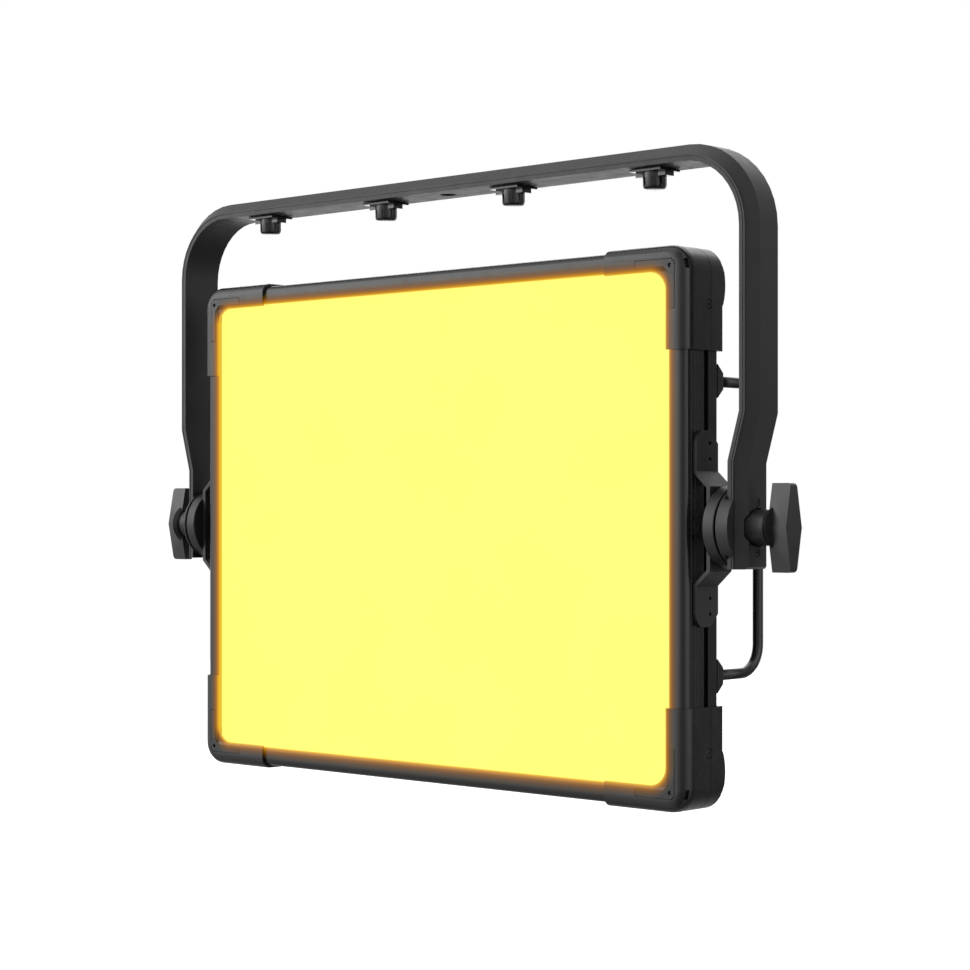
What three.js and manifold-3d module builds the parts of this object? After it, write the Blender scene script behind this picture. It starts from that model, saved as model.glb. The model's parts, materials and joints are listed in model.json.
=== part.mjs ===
// LED panel light hung in a bent yoke: framed panel, rear electronics housing, tilt pivots and knobs.
// Millimetres, +Z up, +X to the right as seen from the lit side, which faces -Y.
// The origin is the middle of the yoke's top flat, where a clamp bolt passes through.

import * as THREE from 'three';
import { mergeVertices } from 'three/addons/utils/BufferGeometryUtils.js';
import Module from 'manifold-3d';

const wasm = await Module();
wasm.setup();

// ---------------------------------------------------------------- driving dimensions

const gap = 0.3; // between touching pieces

// yoke: a flat strap with a chamfered rib on its outside
const yokeRise = 210.2; // tilt axis to the top flat
const strapWidth = 28.5;
const strapThick = 3.8;
const lineFrom = 2.4; // fine groove along the strap's edges: from the inner face, width and depth
const lineWidth = 0.45;
const lineDepth = 0.35;
const ribBase = 25.5;
const ribFlat = 16.2;
const yokeThick = 9.7;
const armInnerTop = 227.5; // half the width between the arms above the joggle
const armInnerLow = 219.9; // and below it
const joggleTop = 63; // heights above the tilt axis
const joggleLow = 36;
const armDrop = 22.5; // arm end below the tilt axis
const yokeBendInside = 37.8;
const hangHoleRadius = 5;
const socketPitch = 106;
const socketSteps = [-1.5, -0.5, 0.5, 1.5]; // places of the sockets, in pitches from the middle
const socketHoleRadius = 4.6;
const cupRadius = 6.8;
const cupDepth = 11.3;
const cupRounding = 2.2;
const cupFlutes = [0, 1, 2, 3, 4, 5, 6, 7].map((i) => 28.5 + 45 * i); // degrees round the cup
const armOut = armInnerLow + yokeThick; // outer face of the arm at the pivot
const recessRadius = 10.8;
const recessDepth = 2;
const armScrews = [13.5, -13.5]; // heights of the screw seats in the arm's outer face
const armScrewSeat = [2.3, 1.4]; // their radius and depth

// panel frame, measured from its own centre and from the front of its rails
const frontOffset = 21.6; // rail front to tilt axis
const panelDrop = 0.8; // panel centre below the tilt axis
const railHalfX = 197;
const railHalfZ = 153.5;
const railDepth = 29.3;
const railWall = 6;
const railRound = 4.7; // radius of the rails' rounded front edge
const railLip = 11.7;
const lipThick = 2.6;
const capProud = 1.8;
const capSkin = 1.5;
const capLeg = 57.5;
const capBack = 33;
const capSeam = 20.95;
const capCorner = 14;
const capInnerCorner = 11;
const bumperBulge = 1.1;
const capLip = 14.5;
const cornerBlock = 16;
const railEnd = cornerBlock + gap - capProud; // rails stop short of the corner by this much

// layers inside the frame, by depth behind the rail front
const innerCorner = 6;
const diffuserFront = lipThick + gap;
const diffuserThick = 2.1;
const mixingBack = 18;
const boardThick = 2;
const sinkPlate = 5.9;
const finThick = 2;
const finCount = 4;
const finFirst = 129;
const finStep = 13.6;
const finBack = 40;

// tilt pivot, by distance from the middle of the light
const discRadius = 22.8;
const bracketOut = 208.9; // outer face of the raised bracket plate
const bracketThick = 2.5;
const bracketHalfLength = 53.7;
const bracketFront = 6.5;
const bracketBack = 26.2;
const bracketScrews = [38.1, 46.8]; // heights above and below the pivot
const bracketScrewY = 18.9;
const bracketScrewRadius = 1.1;
const bracketDiscOut = 216.6;
const frictionOut = 217.8;
const yokeDiscIn = 218.1;
const yokeDiscOut = 225.8;
const bossRadius = 9.8;
const bossEnd = 239.4;
const washerEnd = 240.5;
const knobIn = 240.8;
const knobOut = 253.3;
const knobBore = 251.2; // end of the stud's blind hole in the knob
const knobHalfHeight = 24;
const knobHub = 7.4; // half thickness of the wing at its middle
const knobTip = 2.8; // and at its ends
const knobCorner = 2.2;
const knobFlange = [10.6, 12.4, 2.2]; // radii where it starts and ends, and its thickness
const discSlotFront = 16.9; // the yoke disc wraps the arm's front from here on
const studRadius = 4;
const studHole = 4.4;

// rear housing and its fittings
const housingHalfX = 118;
const housingHalfZ = 128;
const housingBack = 70;
const coverBack = 73.3;
const housingCorner = 12;
const housingWall = 3;
const controlZ = 50;
const display = { x: -34, halfX: 31, halfZ: 17, recess: 1.6 };
const buttons = { button_menu: 20, button_enter: 42 };
const buttonRadius = 4.7;
const encoderX = 76;
const plugZ = -52;
const plugs = { power_inlet: -84, power_outlet: -42, data_in: 34, data_out: 76 };
const plugBarrel = 12;
const plugMouth = 9.5;
const loopZ = 104;
const ventColumns = [-96, -84, -72, -60, -48, -36, 36, 48, 60, 72, 84, 96];
const ventMiddle = 104;
const ventHalf = 12;
const handleX = 192;
const handleZ = 81.5;
const handleBack = 74.1; // centre line of the grip behind the rail front
const handleRod = 3;
const handleBend = 17;
const handleFootHeight = 5.2;

const black = 0x1b1c1e;
const finishes = {
  powder_coat: { color: black, roughness: 0.55, metalness: 0.3 },
  anodised: { color: 0x202124, roughness: 0.42, metalness: 0.6 },
  plastic: { color: 0x1e1f21, roughness: 0.6, metalness: 0 },
  rubber: { color: 0x151515, roughness: 0.85, metalness: 0 },
  steel: { color: 0x9a9c9e, roughness: 0.35, metalness: 1 },
  diffuser: { color: 0xffff7d, roughness: 0.5, metalness: 0 },
  white: { color: 0xe9e9e4, roughness: 0.6, metalness: 0 },
  board: { color: 0x1d4a2c, roughness: 0.5, metalness: 0.1 },
  glass: { color: 0x0b0d10, roughness: 0.1, metalness: 0 },
};

// ---------------------------------------------------------------- shape helpers

const arcSteps = 3; // pairs of facets on each quarter of a rounded outline

// The same surface with shared corners merged, which a closed body needs.
function merge(geometry) {
  const bare = geometry.clone();
  bare.deleteAttribute('normal');
  bare.deleteAttribute('uv');
  return mergeVertices(bare, 1e-4);
}

function toSolid(geometry) {
  const merged = merge(geometry);
  return new wasm.Manifold(new wasm.Mesh({
    numProp: 3,
    vertProperties: Float32Array.from(merged.attributes.position.array),
    triVerts: Uint32Array.from(merged.index.array),
  }));
}

function toGeometry(solid) {
  const mesh = solid.getMesh();
  const geometry = new THREE.BufferGeometry();
  geometry.setAttribute('position', new THREE.BufferAttribute(mesh.vertProperties, 3));
  geometry.setIndex(new THREE.BufferAttribute(mesh.triVerts, 1));
  geometry.computeVertexNormals();
  return geometry;
}

function join(...geometries) {
  return toGeometry(geometries.map(toSolid).reduce((sum, solid) => sum.add(solid)));
}

function cut(base, ...tools) {
  return toGeometry(tools.map(toSolid).reduce((rest, tool) => rest.subtract(tool), toSolid(base)));
}

function common(first, second) {
  return toGeometry(toSolid(first).intersect(toSolid(second)));
}

// A copy mirrored in x, z or both, with its faces still pointing out.
function mirrored(geometry, signX, signZ) {
  const copy = merge(geometry).scale(signX, 1, signZ);
  if (signX * signZ < 0) {
    const index = copy.index.array;
    for (let i = 0; i < index.length; i += 3) {
      [index[i], index[i + 1]] = [index[i + 1], index[i]];
    }
  }
  copy.computeVertexNormals();
  return copy;
}

function box([x0, x1], [y0, y1], [z0, z1]) {
  const geometry = new THREE.BoxGeometry(x1 - x0, y1 - y0, z1 - z0);
  return geometry.translate((x0 + x1) / 2, (y0 + y1) / 2, (z0 + z1) / 2);
}

function cylinder(axis, radius, [from, to], [a, b] = [0, 0], sides = 16) {
  const geometry = new THREE.CylinderGeometry(radius, radius, to - from, sides);
  const middle = (from + to) / 2;
  if (axis === 'x') return geometry.rotateZ(-Math.PI / 2).translate(middle, a, b);
  if (axis === 'y') return geometry.translate(a, middle, b);
  return geometry.rotateX(Math.PI / 2).translate(a, b, middle);
}

function polygon(points) {
  return new THREE.Shape(points.map(([x, y]) => new THREE.Vector2(x, y)));
}

function extrude(shape, depth) {
  return new THREE.ExtrudeGeometry(shape, { depth, bevelEnabled: false, curveSegments: arcSteps });
}

// Extrudes a shape drawn in x and z through the depths y0 to y1.
function slab(shape, y0, y1) {
  return extrude(shape, y1 - y0).rotateX(Math.PI / 2).translate(0, y1, 0);
}

// Extrudes a shape drawn in y and z along x from x0 to x1.
function sideSlab(shape, x0, x1) {
  return extrude(shape, x1 - x0).rotateX(Math.PI / 2).rotateZ(Math.PI / 2).translate(x0, 0, 0);
}

// A body turned about the y axis from a profile of radius and y.
function turned(profile, sides) {
  return new THREE.LatheGeometry(profile.map(([r, y]) => new THREE.Vector2(r, y)), sides);
}

function roundedRect(halfX, halfZ, radius) {
  const shape = new THREE.Shape();
  shape.absarc(halfX - radius, halfZ - radius, radius, 0, Math.PI / 2, false);
  shape.absarc(radius - halfX, halfZ - radius, radius, Math.PI / 2, Math.PI, false);
  shape.absarc(radius - halfX, radius - halfZ, radius, Math.PI, 1.5 * Math.PI, false);
  shape.absarc(halfX - radius, radius - halfZ, radius, 1.5 * Math.PI, 2 * Math.PI, false);
  shape.closePath();
  return shape;
}

function arcPoints([cx, cy], radius, fromDeg, toDeg, steps) {
  return Array.from({ length: steps + 1 }, (_, i) => {
    const angle = THREE.MathUtils.degToRad(fromDeg + ((toDeg - fromDeg) * i) / steps);
    return [cx + radius * Math.cos(angle), cy + radius * Math.sin(angle)];
  });
}

// ---------------------------------------------------------------- yoke

// Right half of the yoke's outline at a distance outside its inner face, from the arm's end to the top.
function yokeHalf(offset, endZ) {
  const slope = Math.atan2(armInnerTop - armInnerLow, joggleTop - joggleLow);
  const miter = offset * Math.tan(slope / 2);
  const centre = [armInnerTop - yokeBendInside, yokeRise - yokeThick - yokeBendInside];
  return [
    [armInnerLow + offset, endZ],
    [armInnerLow + offset, joggleLow - miter],
    [armInnerTop + offset, joggleTop - miter],
    ...arcPoints(centre, yokeBendInside + offset, 0, 90, 10),
  ];
}

function yokeOutline(offset, endZ) {
  const right = yokeHalf(offset, endZ);
  const left = right.map(([x, z]) => [-x, z]).reverse();
  return [...right, ...left];
}

function yokeBar() {
  const below = -armDrop - 20;
  const strap = cut(
    slab(polygon(yokeOutline(strapThick, below)), -strapWidth / 2, strapWidth / 2),
    slab(polygon(yokeOutline(0, below - 1)), -strapWidth, strapWidth),
  );
  const chamferOut = yokeThick - strapThick;
  const chamferIn = (ribBase - ribFlat) / 2;
  const ribBlock = new THREE.ExtrudeGeometry(polygon(yokeOutline(yokeThick, below)), {
    depth: ribFlat,
    bevelThickness: chamferIn,
    bevelSize: chamferOut,
    bevelOffset: -chamferOut,
    bevelSegments: 1,
  }).rotateX(Math.PI / 2).translate(0, ribFlat / 2, 0);
  const rib = cut(ribBlock, slab(polygon(yokeOutline(strapThick / 2, below - 30)), -strapWidth, strapWidth));
  const lineCore = cut(
    slab(polygon(yokeOutline(lineFrom + lineWidth, below)), -strapWidth, strapWidth),
    slab(polygon(yokeOutline(lineFrom, below - 1)), -strapWidth - 1, strapWidth + 1),
  );
  const lineInside = strapWidth / 2 - lineDepth;
  const lineMiddle = box([-armOut * 2, armOut * 2], [-lineInside, lineInside], [below * 2, yokeRise + 5]);
  const flat = armOut - 2.6; // the arm's end is square to here, then slopes up to its outer face
  const wide = armOut + 30;
  const ends = slab(polygon([
    [-wide, below * 2], [wide, below * 2], [wide, -armDrop + 16], [flat, -armDrop],
    [-flat, -armDrop], [-wide, -armDrop + 16],
  ]), -strapWidth, strapWidth);
  const throughTop = [yokeRise - yokeThick - 1, yokeRise + 1];
  const holes = [
    cylinder('z', hangHoleRadius, throughTop),
    ...socketSteps.map((step) => cylinder('z', socketHoleRadius, throughTop, [step * socketPitch, 0])),
    cylinder('x', studHole, [-armOut - 1, 1 - armInnerLow]),
    cylinder('x', studHole, [armInnerLow - 1, armOut + 1]),
    cylinder('x', recessRadius, [-armOut - 1, recessDepth - armOut], [0, 0], 20),
    cylinder('x', recessRadius, [armOut - recessDepth, armOut + 1], [0, 0], 20),
    ...armScrews.flatMap((z) => [
      cylinder('x', armScrewSeat[0], [-armOut - 1, armScrewSeat[1] - armOut], [0, z], 14),
      cylinder('x', armScrewSeat[0], [armOut - armScrewSeat[1], armOut + 1], [0, z], 14),
    ]),
  ];
  return cut(join(strap, rib), ends, cut(lineCore, lineMiddle), ...holes);
}

// Quarter-turn stud receptacle under the yoke: plate, cross bar and a cup open at the top.
function clampSocket() {
  const top = yokeRise - yokeThick - gap;
  const shoulder = arcPoints([cupRadius - cupRounding, cupRounding - cupDepth], cupRounding, -90, 0, 3);
  const cup = turned([[0, -cupDepth], ...shoulder, [cupRadius, 0], [0, 0]], 20).rotateX(Math.PI / 2);
  const plate = box([-10.9, 10.9], [-9, 9], [top - 1.5, top]);
  const bar = box([-10.5, 10.5], [-4, 4], [top - 4.2, top - 1]);
  const fluteHeight = [top - cupDepth + cupRounding, top - 4.6];
  const grooves = cupFlutes.map((angle) => {
    const groove = box([-0.6, 0.6], [cupRadius - 0.6, cupRadius + 2], fluteHeight);
    return groove.rotateZ(THREE.MathUtils.degToRad(angle));
  });
  const bore = cylinder('z', socketHoleRadius, [top + 1.5 - cupDepth, top + 1]);
  return cut(join(cup.translate(0, 0, top), plate, bar), bore, ...grooves);
}

// ---------------------------------------------------------------- tilt pivot, right side

// Disc on the arm's inner face, with a lip that wraps the arm's front.
function yokeDisc() {
  const slot = box([armInnerLow - gap, yokeDiscOut + 1], [-discSlotFront, 30], [-30, 30]);
  return cut(cylinder('x', discRadius, [yokeDiscIn, yokeDiscOut], [0, 0], 28), slot,
    cylinder('x', studHole, [yokeDiscIn - 1, armInnerLow]));
}

function frictionDisc() {
  return cut(cylinder('x', discRadius - 1.2, [bracketDiscOut + gap, frictionOut], [0, 0], 28),
    cylinder('x', studHole, [bracketDiscOut, frictionOut + 1]));
}

function bracketDisc() {
  return cut(cylinder('x', discRadius, [bracketOut + gap, bracketDiscOut], [0, 0], 28),
    cylinder('x', studHole, [bracketOut, bracketDiscOut + 1]));
}

function pivotStud() {
  const headOut = bracketOut - bracketThick - gap;
  const headIn = headOut - 5.6;
  return join(cylinder('x', 7.5, [headIn, headOut], [0, 0], 6),
    cylinder('x', studRadius, [headIn + 1, knobBore - 0.6]));
}

function pivotBoss() {
  return cut(cylinder('x', bossRadius, [armOut - recessDepth + gap, bossEnd], [0, 0], 24),
    cylinder('x', studHole, [armOut - recessDepth, bossEnd + 1]));
}

function knobWasher() {
  return cut(cylinder('x', bossRadius + 0.5, [bossEnd + gap, washerEnd], [0, 0], 24),
    cylinder('x', studHole, [bossEnd, washerEnd + 1]));
}

function wingKnob() {
  const section = polygon([
    [knobHub, 0], [knobTip, knobHalfHeight], [-knobTip, knobHalfHeight],
    [-knobHub, 0], [-knobTip, -knobHalfHeight], [knobTip, -knobHalfHeight],
  ]);
  const arcX = knobOut - knobCorner;
  const arcZ = knobHalfHeight - knobCorner;
  const outline = polygon([
    [knobIn, -knobHalfHeight], ...arcPoints([arcX, -arcZ], knobCorner, -90, 0, 4),
    ...arcPoints([arcX, arcZ], knobCorner, 0, 90, 4), [knobIn, knobHalfHeight],
  ]);
  const wing = common(sideSlab(section, knobIn + gap, knobOut), slab(outline, -knobHub - 1, knobHub + 1));
  const [flangeIn, flangeOut, thick] = knobFlange;
  const flange = turned([[0, 0], [flangeIn, 0], [flangeOut, thick], [0, thick]], 24)
    .rotateZ(-Math.PI / 2).translate(knobIn, 0, 0);
  return cut(join(flange, wing), cylinder('x', studHole, [knobIn - 1, knobBore]));
}

// Bent strap that stands off the panel's side: two feet, two slopes and a raised plate.
function pivotBracket() {
  const footIn = railHalfX + gap;
  const raised = bracketOut - bracketThick;
  const half = [[footIn, bracketHalfLength], [footIn, 30.6], [raised, 22.4]];
  const footOut = footIn + bracketThick;
  const outer = [[bracketOut, 23.2], [footOut, 31.4], [footOut, bracketHalfLength]];
  const path = [...half, ...half.map(([x, z]) => [x, -z]).reverse(),
    ...outer.map(([x, z]) => [x, -z]).reverse(), ...outer];
  const strip = slab(polygon(path), bracketFront, bracketBack);
  const length = bracketHalfLength + 1;
  const corner = 8;
  const facePlan = polygon([
    ...arcPoints([bracketFront + corner, -length + corner], corner, 180, 270, 4),
    [bracketBack - corner, -length], [bracketBack + 1, -length + corner + 1],
    [bracketBack + 1, length - corner - 1], [bracketBack - corner, length],
    ...arcPoints([bracketFront + corner, length - corner], corner, 90, 180, 4),
  ]);
  const throughFoot = [footIn - 1, footOut + 1];
  const screws = bracketScrews.flatMap((z) => [-z, z]).map((z) => (
    cylinder('x', bracketScrewRadius, throughFoot, [bracketScrewY, z], 8)));
  return cut(common(strip, sideSlab(facePlan, footIn - 2, bracketOut + 2)),
    cylinder('x', studHole, [raised - 1, bracketOut + 1], [frontOffset, panelDrop]), ...screws);
}

// ---------------------------------------------------------------- panel frame

// Front edge shared by rails and caps as inward and depth: lip, quarter-round and a fine side groove.
function frontEdge(lip, lipBack, radius) {
  return [
    [lip, lipBack], [lip, 0.8], [lip - 0.9, 0.3], [lip - 2.4, 0],
    ...arcPoints([radius, radius], radius, 270, 180, 6),
    [0, radius + 0.4], [0.5, radius + 0.65], [0.5, radius + 0.95], [0, radius + 1.2],
  ];
}

function railProfile() {
  const line = (y) => [[0, y], [0.35, y + 0.15], [0.35, y + 0.45], [0, y + 0.6]];
  return [
    ...frontEdge(railLip, lipThick, railRound),
    ...line(9), ...line(11.6),
    [0, 16.9], [1.4, 16.9], [1.4, 15.4], [4, 15.4], [4, 22.4], [1.4, 22.4], [1.4, 20.9], [0, 20.9],
    [0, railDepth - 0.8], [0.8, railDepth], [9, railDepth], [9, railDepth - 2.5],
    [railWall, railDepth - 2.5], [railWall, lipThick],
  ];
}

function rail(half, length) {
  const shape = polygon(railProfile().map(([inward, y]) => [half - inward, y]));
  return extrude(shape, length).translate(0, 0, -length / 2);
}

const capRound = railRound + capProud;
const capX = railHalfX + capProud;
const capZ = railHalfZ + capProud;
const corner = [capX - capCorner, capZ - capCorner];

// A corner cap's skin: the profile run along both legs and turned round the corner.
function capSkinSolid(profile) {
  const leg = (outside) => (
    extrude(polygon(profile.map(([inward, y]) => [outside - inward, y])), capLeg - capCorner));
  const upright = leg(capX).translate(0, 0, capZ - capLeg);
  const level = leg(capZ).rotateY(-Math.PI / 2).translate(corner[0], 0, 0);
  const ring = [...profile, profile[0]].map(([inward, y]) => new THREE.Vector2(capCorner - inward, y));
  const bend = new THREE.LatheGeometry(ring, 28).translate(corner[0], 0, corner[1]);
  const quarter = box([corner[0], capX + 5], [-10, 50], [corner[1], capZ + 5]);
  return join(upright, level, common(bend, quarter));
}

// Fills the cap's corner between its skin and the rail ends, outside the layers' cavity.
function capCornerBlock(y0, y1, cavityFrom, cavityTo) {
  const inset = (amount, from) => (
    slab(roundedRect(capX - amount, capZ - amount, capCorner - amount), from, y1));
  const outline = join(inset(0.7, Math.max(y0, 2.2)), inset(4, y0));
  const inside = roundedRect(railHalfX - railWall, railHalfZ - railWall, innerCorner);
  const cavity = slab(inside, cavityFrom, cavityTo);
  const block = box([capX - cornerBlock, capX], [y0, y1], [capZ - cornerBlock, capZ]);
  return cut(common(outline, block), cavity);
}

// Rounded inner corner of the window, as part of the cap's front skin.
function capWindowCorner() {
  const inX = capX - capLip;
  const inZ = capZ - capLip;
  const centre = [inX - capInnerCorner, inZ - capInnerCorner];
  return slab(polygon([
    [inX + 1, inZ + 1], [centre[0] - 3, inZ + 1], [centre[0] - 3, inZ],
    ...arcPoints(centre, capInnerCorner, 90, 0, 8), [inX, centre[1] - 3], [inX + 1, centre[1] - 3],
  ]), -0.85, -gap);
}

// L-shaped insert let into the cap's front, grown by an allowance for its recess.
function insertPlan(grow) {
  const plan = [
    ...arcPoints([11, 11], 3 + grow, 180, 270, 3), [35 + grow, 8 - grow], [35 + grow, 12 + grow],
    [15.5 + grow, 12 + grow], [12 + grow, 15.5 + grow], [12 + grow, 35 + grow], [8 - grow, 35 + grow],
  ];
  return polygon(plan.map(([inX, inZ]) => [capX - inX, capZ - inZ]).reverse());
}

const capScrew = [capSeam - 1.7, capZ - 32];

function capFront() {
  const outer = frontEdge(capLip, capProud - gap, capRound);
  const profile = [
    ...outer.map(([inward, y]) => [inward, y - capProud]),
    [0, capSeam - gap / 2], [capSkin, capSeam - gap / 2],
    ...arcPoints([capRound, railRound], railRound + gap, 180, 270, 6),
  ];
  const body = join(capSkinSolid(profile), capWindowCorner(),
    capCornerBlock(-1, capSeam - gap / 2, lipThick, capSeam + 1));
  const insertBed = slab(insertPlan(gap), -5, -0.9);
  const screwSeat = cylinder('x', 2.9, [capX - 0.8, capX + 1], capScrew);
  return cut(body, insertBed, screwSeat, capSlot());
}

// Short slot that follows the rounded corner, in the front edge's round.
function capSlot() {
  const [inner, outer, from, to] = [capCorner - 1.9, capCorner - 0.6, 2, 27];
  const ring = [...arcPoints(corner, outer, from, to, 3), ...arcPoints(corner, inner, to, from, 3)];
  return slab(polygon(ring), -5, 3.2);
}

function cornerInsert() {
  const screwHole = cylinder('y', 1.2, [-5, 5], [capX - 11, capZ - 11.5], 10);
  return cut(slab(insertPlan(0), -capProud - 0.1, -0.9 - gap), screwHole);
}

function capRear() {
  const profile = [
    [0, capSeam + gap / 2], [0, capBack - 1.6], [1.6, capBack], [11, capBack], [11, railDepth + gap],
    [capSkin, railDepth + gap], [capSkin, capSeam + gap / 2],
  ];
  const bumperRadius = 31;
  const bumperCentre = [capBack + bumperBulge - bumperRadius, capZ - 21];
  const bumperPlan = polygon([
    [capBack - 3, capZ - 34], ...arcPoints(bumperCentre, bumperRadius, -20, 20, 6), [capBack - 3, capZ - 8],
  ]);
  const bumper = common(sideSlab(bumperPlan, capX - 12, capX),
    slab(roundedRect(capX, capZ, capCorner), capBack - 2.5, capBack + 5));
  const body = join(capSkinSolid(profile), bumper,
    capCornerBlock(capSeam + gap / 2, capBack, capSeam - 1, railDepth - 2.5));
  return cut(body, cylinder('x', 2.9, [capX - 0.8, capX + 1], capScrew));
}

// ---------------------------------------------------------------- layers inside the frame

const layerX = railHalfX - railWall - 0.4;
const layerZ = railHalfZ - railWall - 0.4;
const boardFront = mixingBack + gap;
const sinkFront = boardFront + boardThick + gap;
const sinkBack = sinkFront + sinkPlate;

function layer(y0, y1) {
  return slab(roundedRect(layerX, layerZ, innerCorner), y0, y1);
}

function mixingFrame() {
  const window = slab(roundedRect(layerX - 4.6, layerZ - 4.6, innerCorner - 2), 0, mixingBack + 5);
  return cut(layer(diffuserFront + diffuserThick + gap, mixingBack), window);
}

// Back plate with upright cooling fins on both sides of the housing.
function heatSink() {
  const fins = [];
  for (const side of [-1, 1]) {
    for (let i = 0; i < finCount; i += 1) {
      const middle = side * (finFirst + i * finStep);
      const width = [middle - finThick / 2, middle + finThick / 2];
      fins.push(box(width, [sinkBack - 1, finBack], [-housingHalfZ, housingHalfZ]));
    }
  }
  return join(layer(sinkFront, sinkBack), ...fins);
}

// ---------------------------------------------------------------- rear housing

function rearHousing() {
  const depth = [sinkBack + gap, housingBack];
  const shell = (shrink, y0, y1) => (
    slab(roundedRect(housingHalfX - shrink, housingHalfZ - shrink, housingCorner - shrink), y0, y1));
  const walls = cut(shell(0, ...depth), shell(housingWall, sinkBack - 5, housingBack + 5));
  const postX = housingHalfX - 7;
  const postZ = housingHalfZ - 7;
  const posts = [[1, 1], [-1, 1], [1, -1], [-1, -1]].map(([signX, signZ]) => (
    cylinder('y', 5, depth, [signX * postX, signZ * postZ], 12)));
  return join(walls, ...posts);
}

function rearCover() {
  const bevel = 2;
  const plate = new THREE.ExtrudeGeometry(roundedRect(housingHalfX, housingHalfZ, housingCorner), {
    depth: coverBack - housingBack - gap - bevel,
    bevelThickness: bevel,
    bevelSize: bevel,
    bevelOffset: -bevel,
    bevelSegments: 1,
    curveSegments: arcSteps,
  }).rotateX(Math.PI / 2).translate(0, coverBack - bevel, 0);
  const sides = [-housingHalfZ, housingHalfZ];
  const trimmed = common(plate, box(sides, [housingBack + gap, coverBack + 1], sides));
  const through = [housingBack - 5, coverBack + 5];
  const holes = Object.values(buttons).map((x) => cylinder('y', buttonRadius + 0.4, through, [x, controlZ]));
  const sockets = Object.values(plugs).map((x) => cylinder('y', plugBarrel + gap, through, [x, plugZ], 20));
  const vents = ventColumns.flatMap((x) => [-1, 1].map((sign) => (
    box([x - 1.2, x + 1.2], through, [sign * ventMiddle - ventHalf, sign * ventMiddle + ventHalf]))));
  return cut(trimmed, displayBed(0, coverBack + 2), ...holes, ...sockets, ...vents,
    cylinder('y', 3.6, through, [encoderX, controlZ], 12));
}

// The display's outline shrunk by an allowance, from the floor of its recess to a depth.
function displayBed(shrink, back) {
  const { x, halfX, halfZ, recess } = display;
  return box([x - halfX + shrink, x + halfX - shrink], [coverBack - recess + shrink, back],
    [controlZ - halfZ + shrink, controlZ + halfZ - shrink]);
}

function pushButton(x) {
  const [stemIn, capIn, capOut] = [coverBack - 5.3, coverBack - 2.5, coverBack + 2.5];
  const stem = buttonRadius - 1.1;
  const edge = 0.8;
  const profile = [
    [0, stemIn], [stem, stemIn], [stem, capIn], [buttonRadius, capIn],
    [buttonRadius, capOut - edge], [buttonRadius - edge, capOut], [0, capOut],
  ];
  return turned(profile, 14).translate(x, 0, controlZ);
}

function encoderKnob() {
  const skirt = coverBack + 0.5;
  const top = coverBack + 12.3;
  const shaftIn = coverBack - 11.3;
  const body = turned([[0, shaftIn], [3, shaftIn], [3, skirt], [9, skirt], [9.4, skirt + 1.2],
    [8.8, top - 1], [7.9, top], [0, top]], 20);
  const flutes = Array.from({ length: 8 }, (_, i) => {
    const angle = (i * Math.PI) / 4;
    return cylinder('y', 1.1, [skirt + 2.2, top + 4], [9.5 * Math.cos(angle), 9.5 * Math.sin(angle)], 6);
  });
  return cut(body, ...flutes).translate(encoderX, 0, controlZ);
}

// Chassis connector: a flange on the cover and a barrel through it, with an open or a filled mouth.
function chassisPlug(x, open) {
  const flange = slab(roundedRect(13, 15.5, 3), coverBack + gap, coverBack + 2.6);
  const barrel = cylinder('y', plugBarrel, [52, coverBack + 1], [0, 0], 20);
  const collar = cylinder('y', plugBarrel + 0.4, [coverBack + 1, coverBack + 9], [0, 0], 20);
  const mouthFloor = open ? 58 : coverBack + 6.5;
  const mouth = cylinder('y', plugMouth, [mouthFloor, coverBack + 12], [0, 0]);
  const throughFlange = [coverBack - 1, coverBack + 4];
  const holes = [[-9.8, 12.2], [9.8, -12.2]].map((at) => cylinder('y', 1.6, throughFlange, at, 6));
  return cut(join(flange, barrel, collar), mouth, ...holes).translate(x, 0, plugZ);
}

function powerSupply() {
  const base = box([-104, -8], [sinkBack + 3, sinkBack + 5], [-30, 84]);
  const cover = box([-102, -10], [sinkBack + 4.5, 60], [-28, 82]);
  const ribs = Array.from({ length: 6 }, (_, i) => box([-94, -18], [59, 61], [-14 + i * 16, -10 + i * 16]));
  return join(base, cover, ...ribs);
}

function driverBoard() {
  const plate = box([4, 104], [34, 36], [-28, 82]);
  const blocks = [];
  for (const [x, z, halfX, halfZ, top] of [[24, 62, 10, 8, 48], [60, 60, 12, 10, 44], [86, 20, 8, 12, 46],
    [34, 10, 14, 14, 40], [20, -14, 6, 6, 50], [62, -12, 8, 6, 42]]) {
    blocks.push(box([x - halfX, x + halfX], [35, top], [z - halfZ, z + halfZ]));
  }
  return join(plate, ...blocks);
}

// A round rod bent in the yz plane: out from two feet at z = -half and z = half, and across at y = back.
function bentRod(start, back, half, bend, radius, steps) {
  const at = (y, z) => new THREE.Vector3(0, y, z);
  const path = new THREE.CurvePath();
  path.add(new THREE.LineCurve3(at(start, half), at(back - bend, half)));
  path.add(new THREE.QuadraticBezierCurve3(at(back - bend, half), at(back, half), at(back, half - bend)));
  path.add(new THREE.LineCurve3(at(back, half - bend), at(back, bend - half)));
  path.add(new THREE.QuadraticBezierCurve3(at(back, bend - half), at(back, -half), at(back - bend, -half)));
  path.add(new THREE.LineCurve3(at(back - bend, -half), at(start, -half)));
  const section = new THREE.Shape().absarc(0, 0, radius, 0, 2 * Math.PI, false);
  return new THREE.ExtrudeGeometry(section, { steps, extrudePath: path, curveSegments: 4 });
}

// Steel eye for a safety cable, standing on the cover near its top edge.
function safetyLoop() {
  const start = coverBack + gap;
  const half = 11;
  const rod = bentRod(start, start + 20, half, 9, 2.5, 20).rotateY(Math.PI / 2);
  const feet = [-half, half].map((x) => cylinder('y', 4.6, [start, start + 2], [x, 0], 12));
  return join(rod, ...feet).translate(0, 0, loopZ);
}

// ---------------------------------------------------------------- carrying handles

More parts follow.
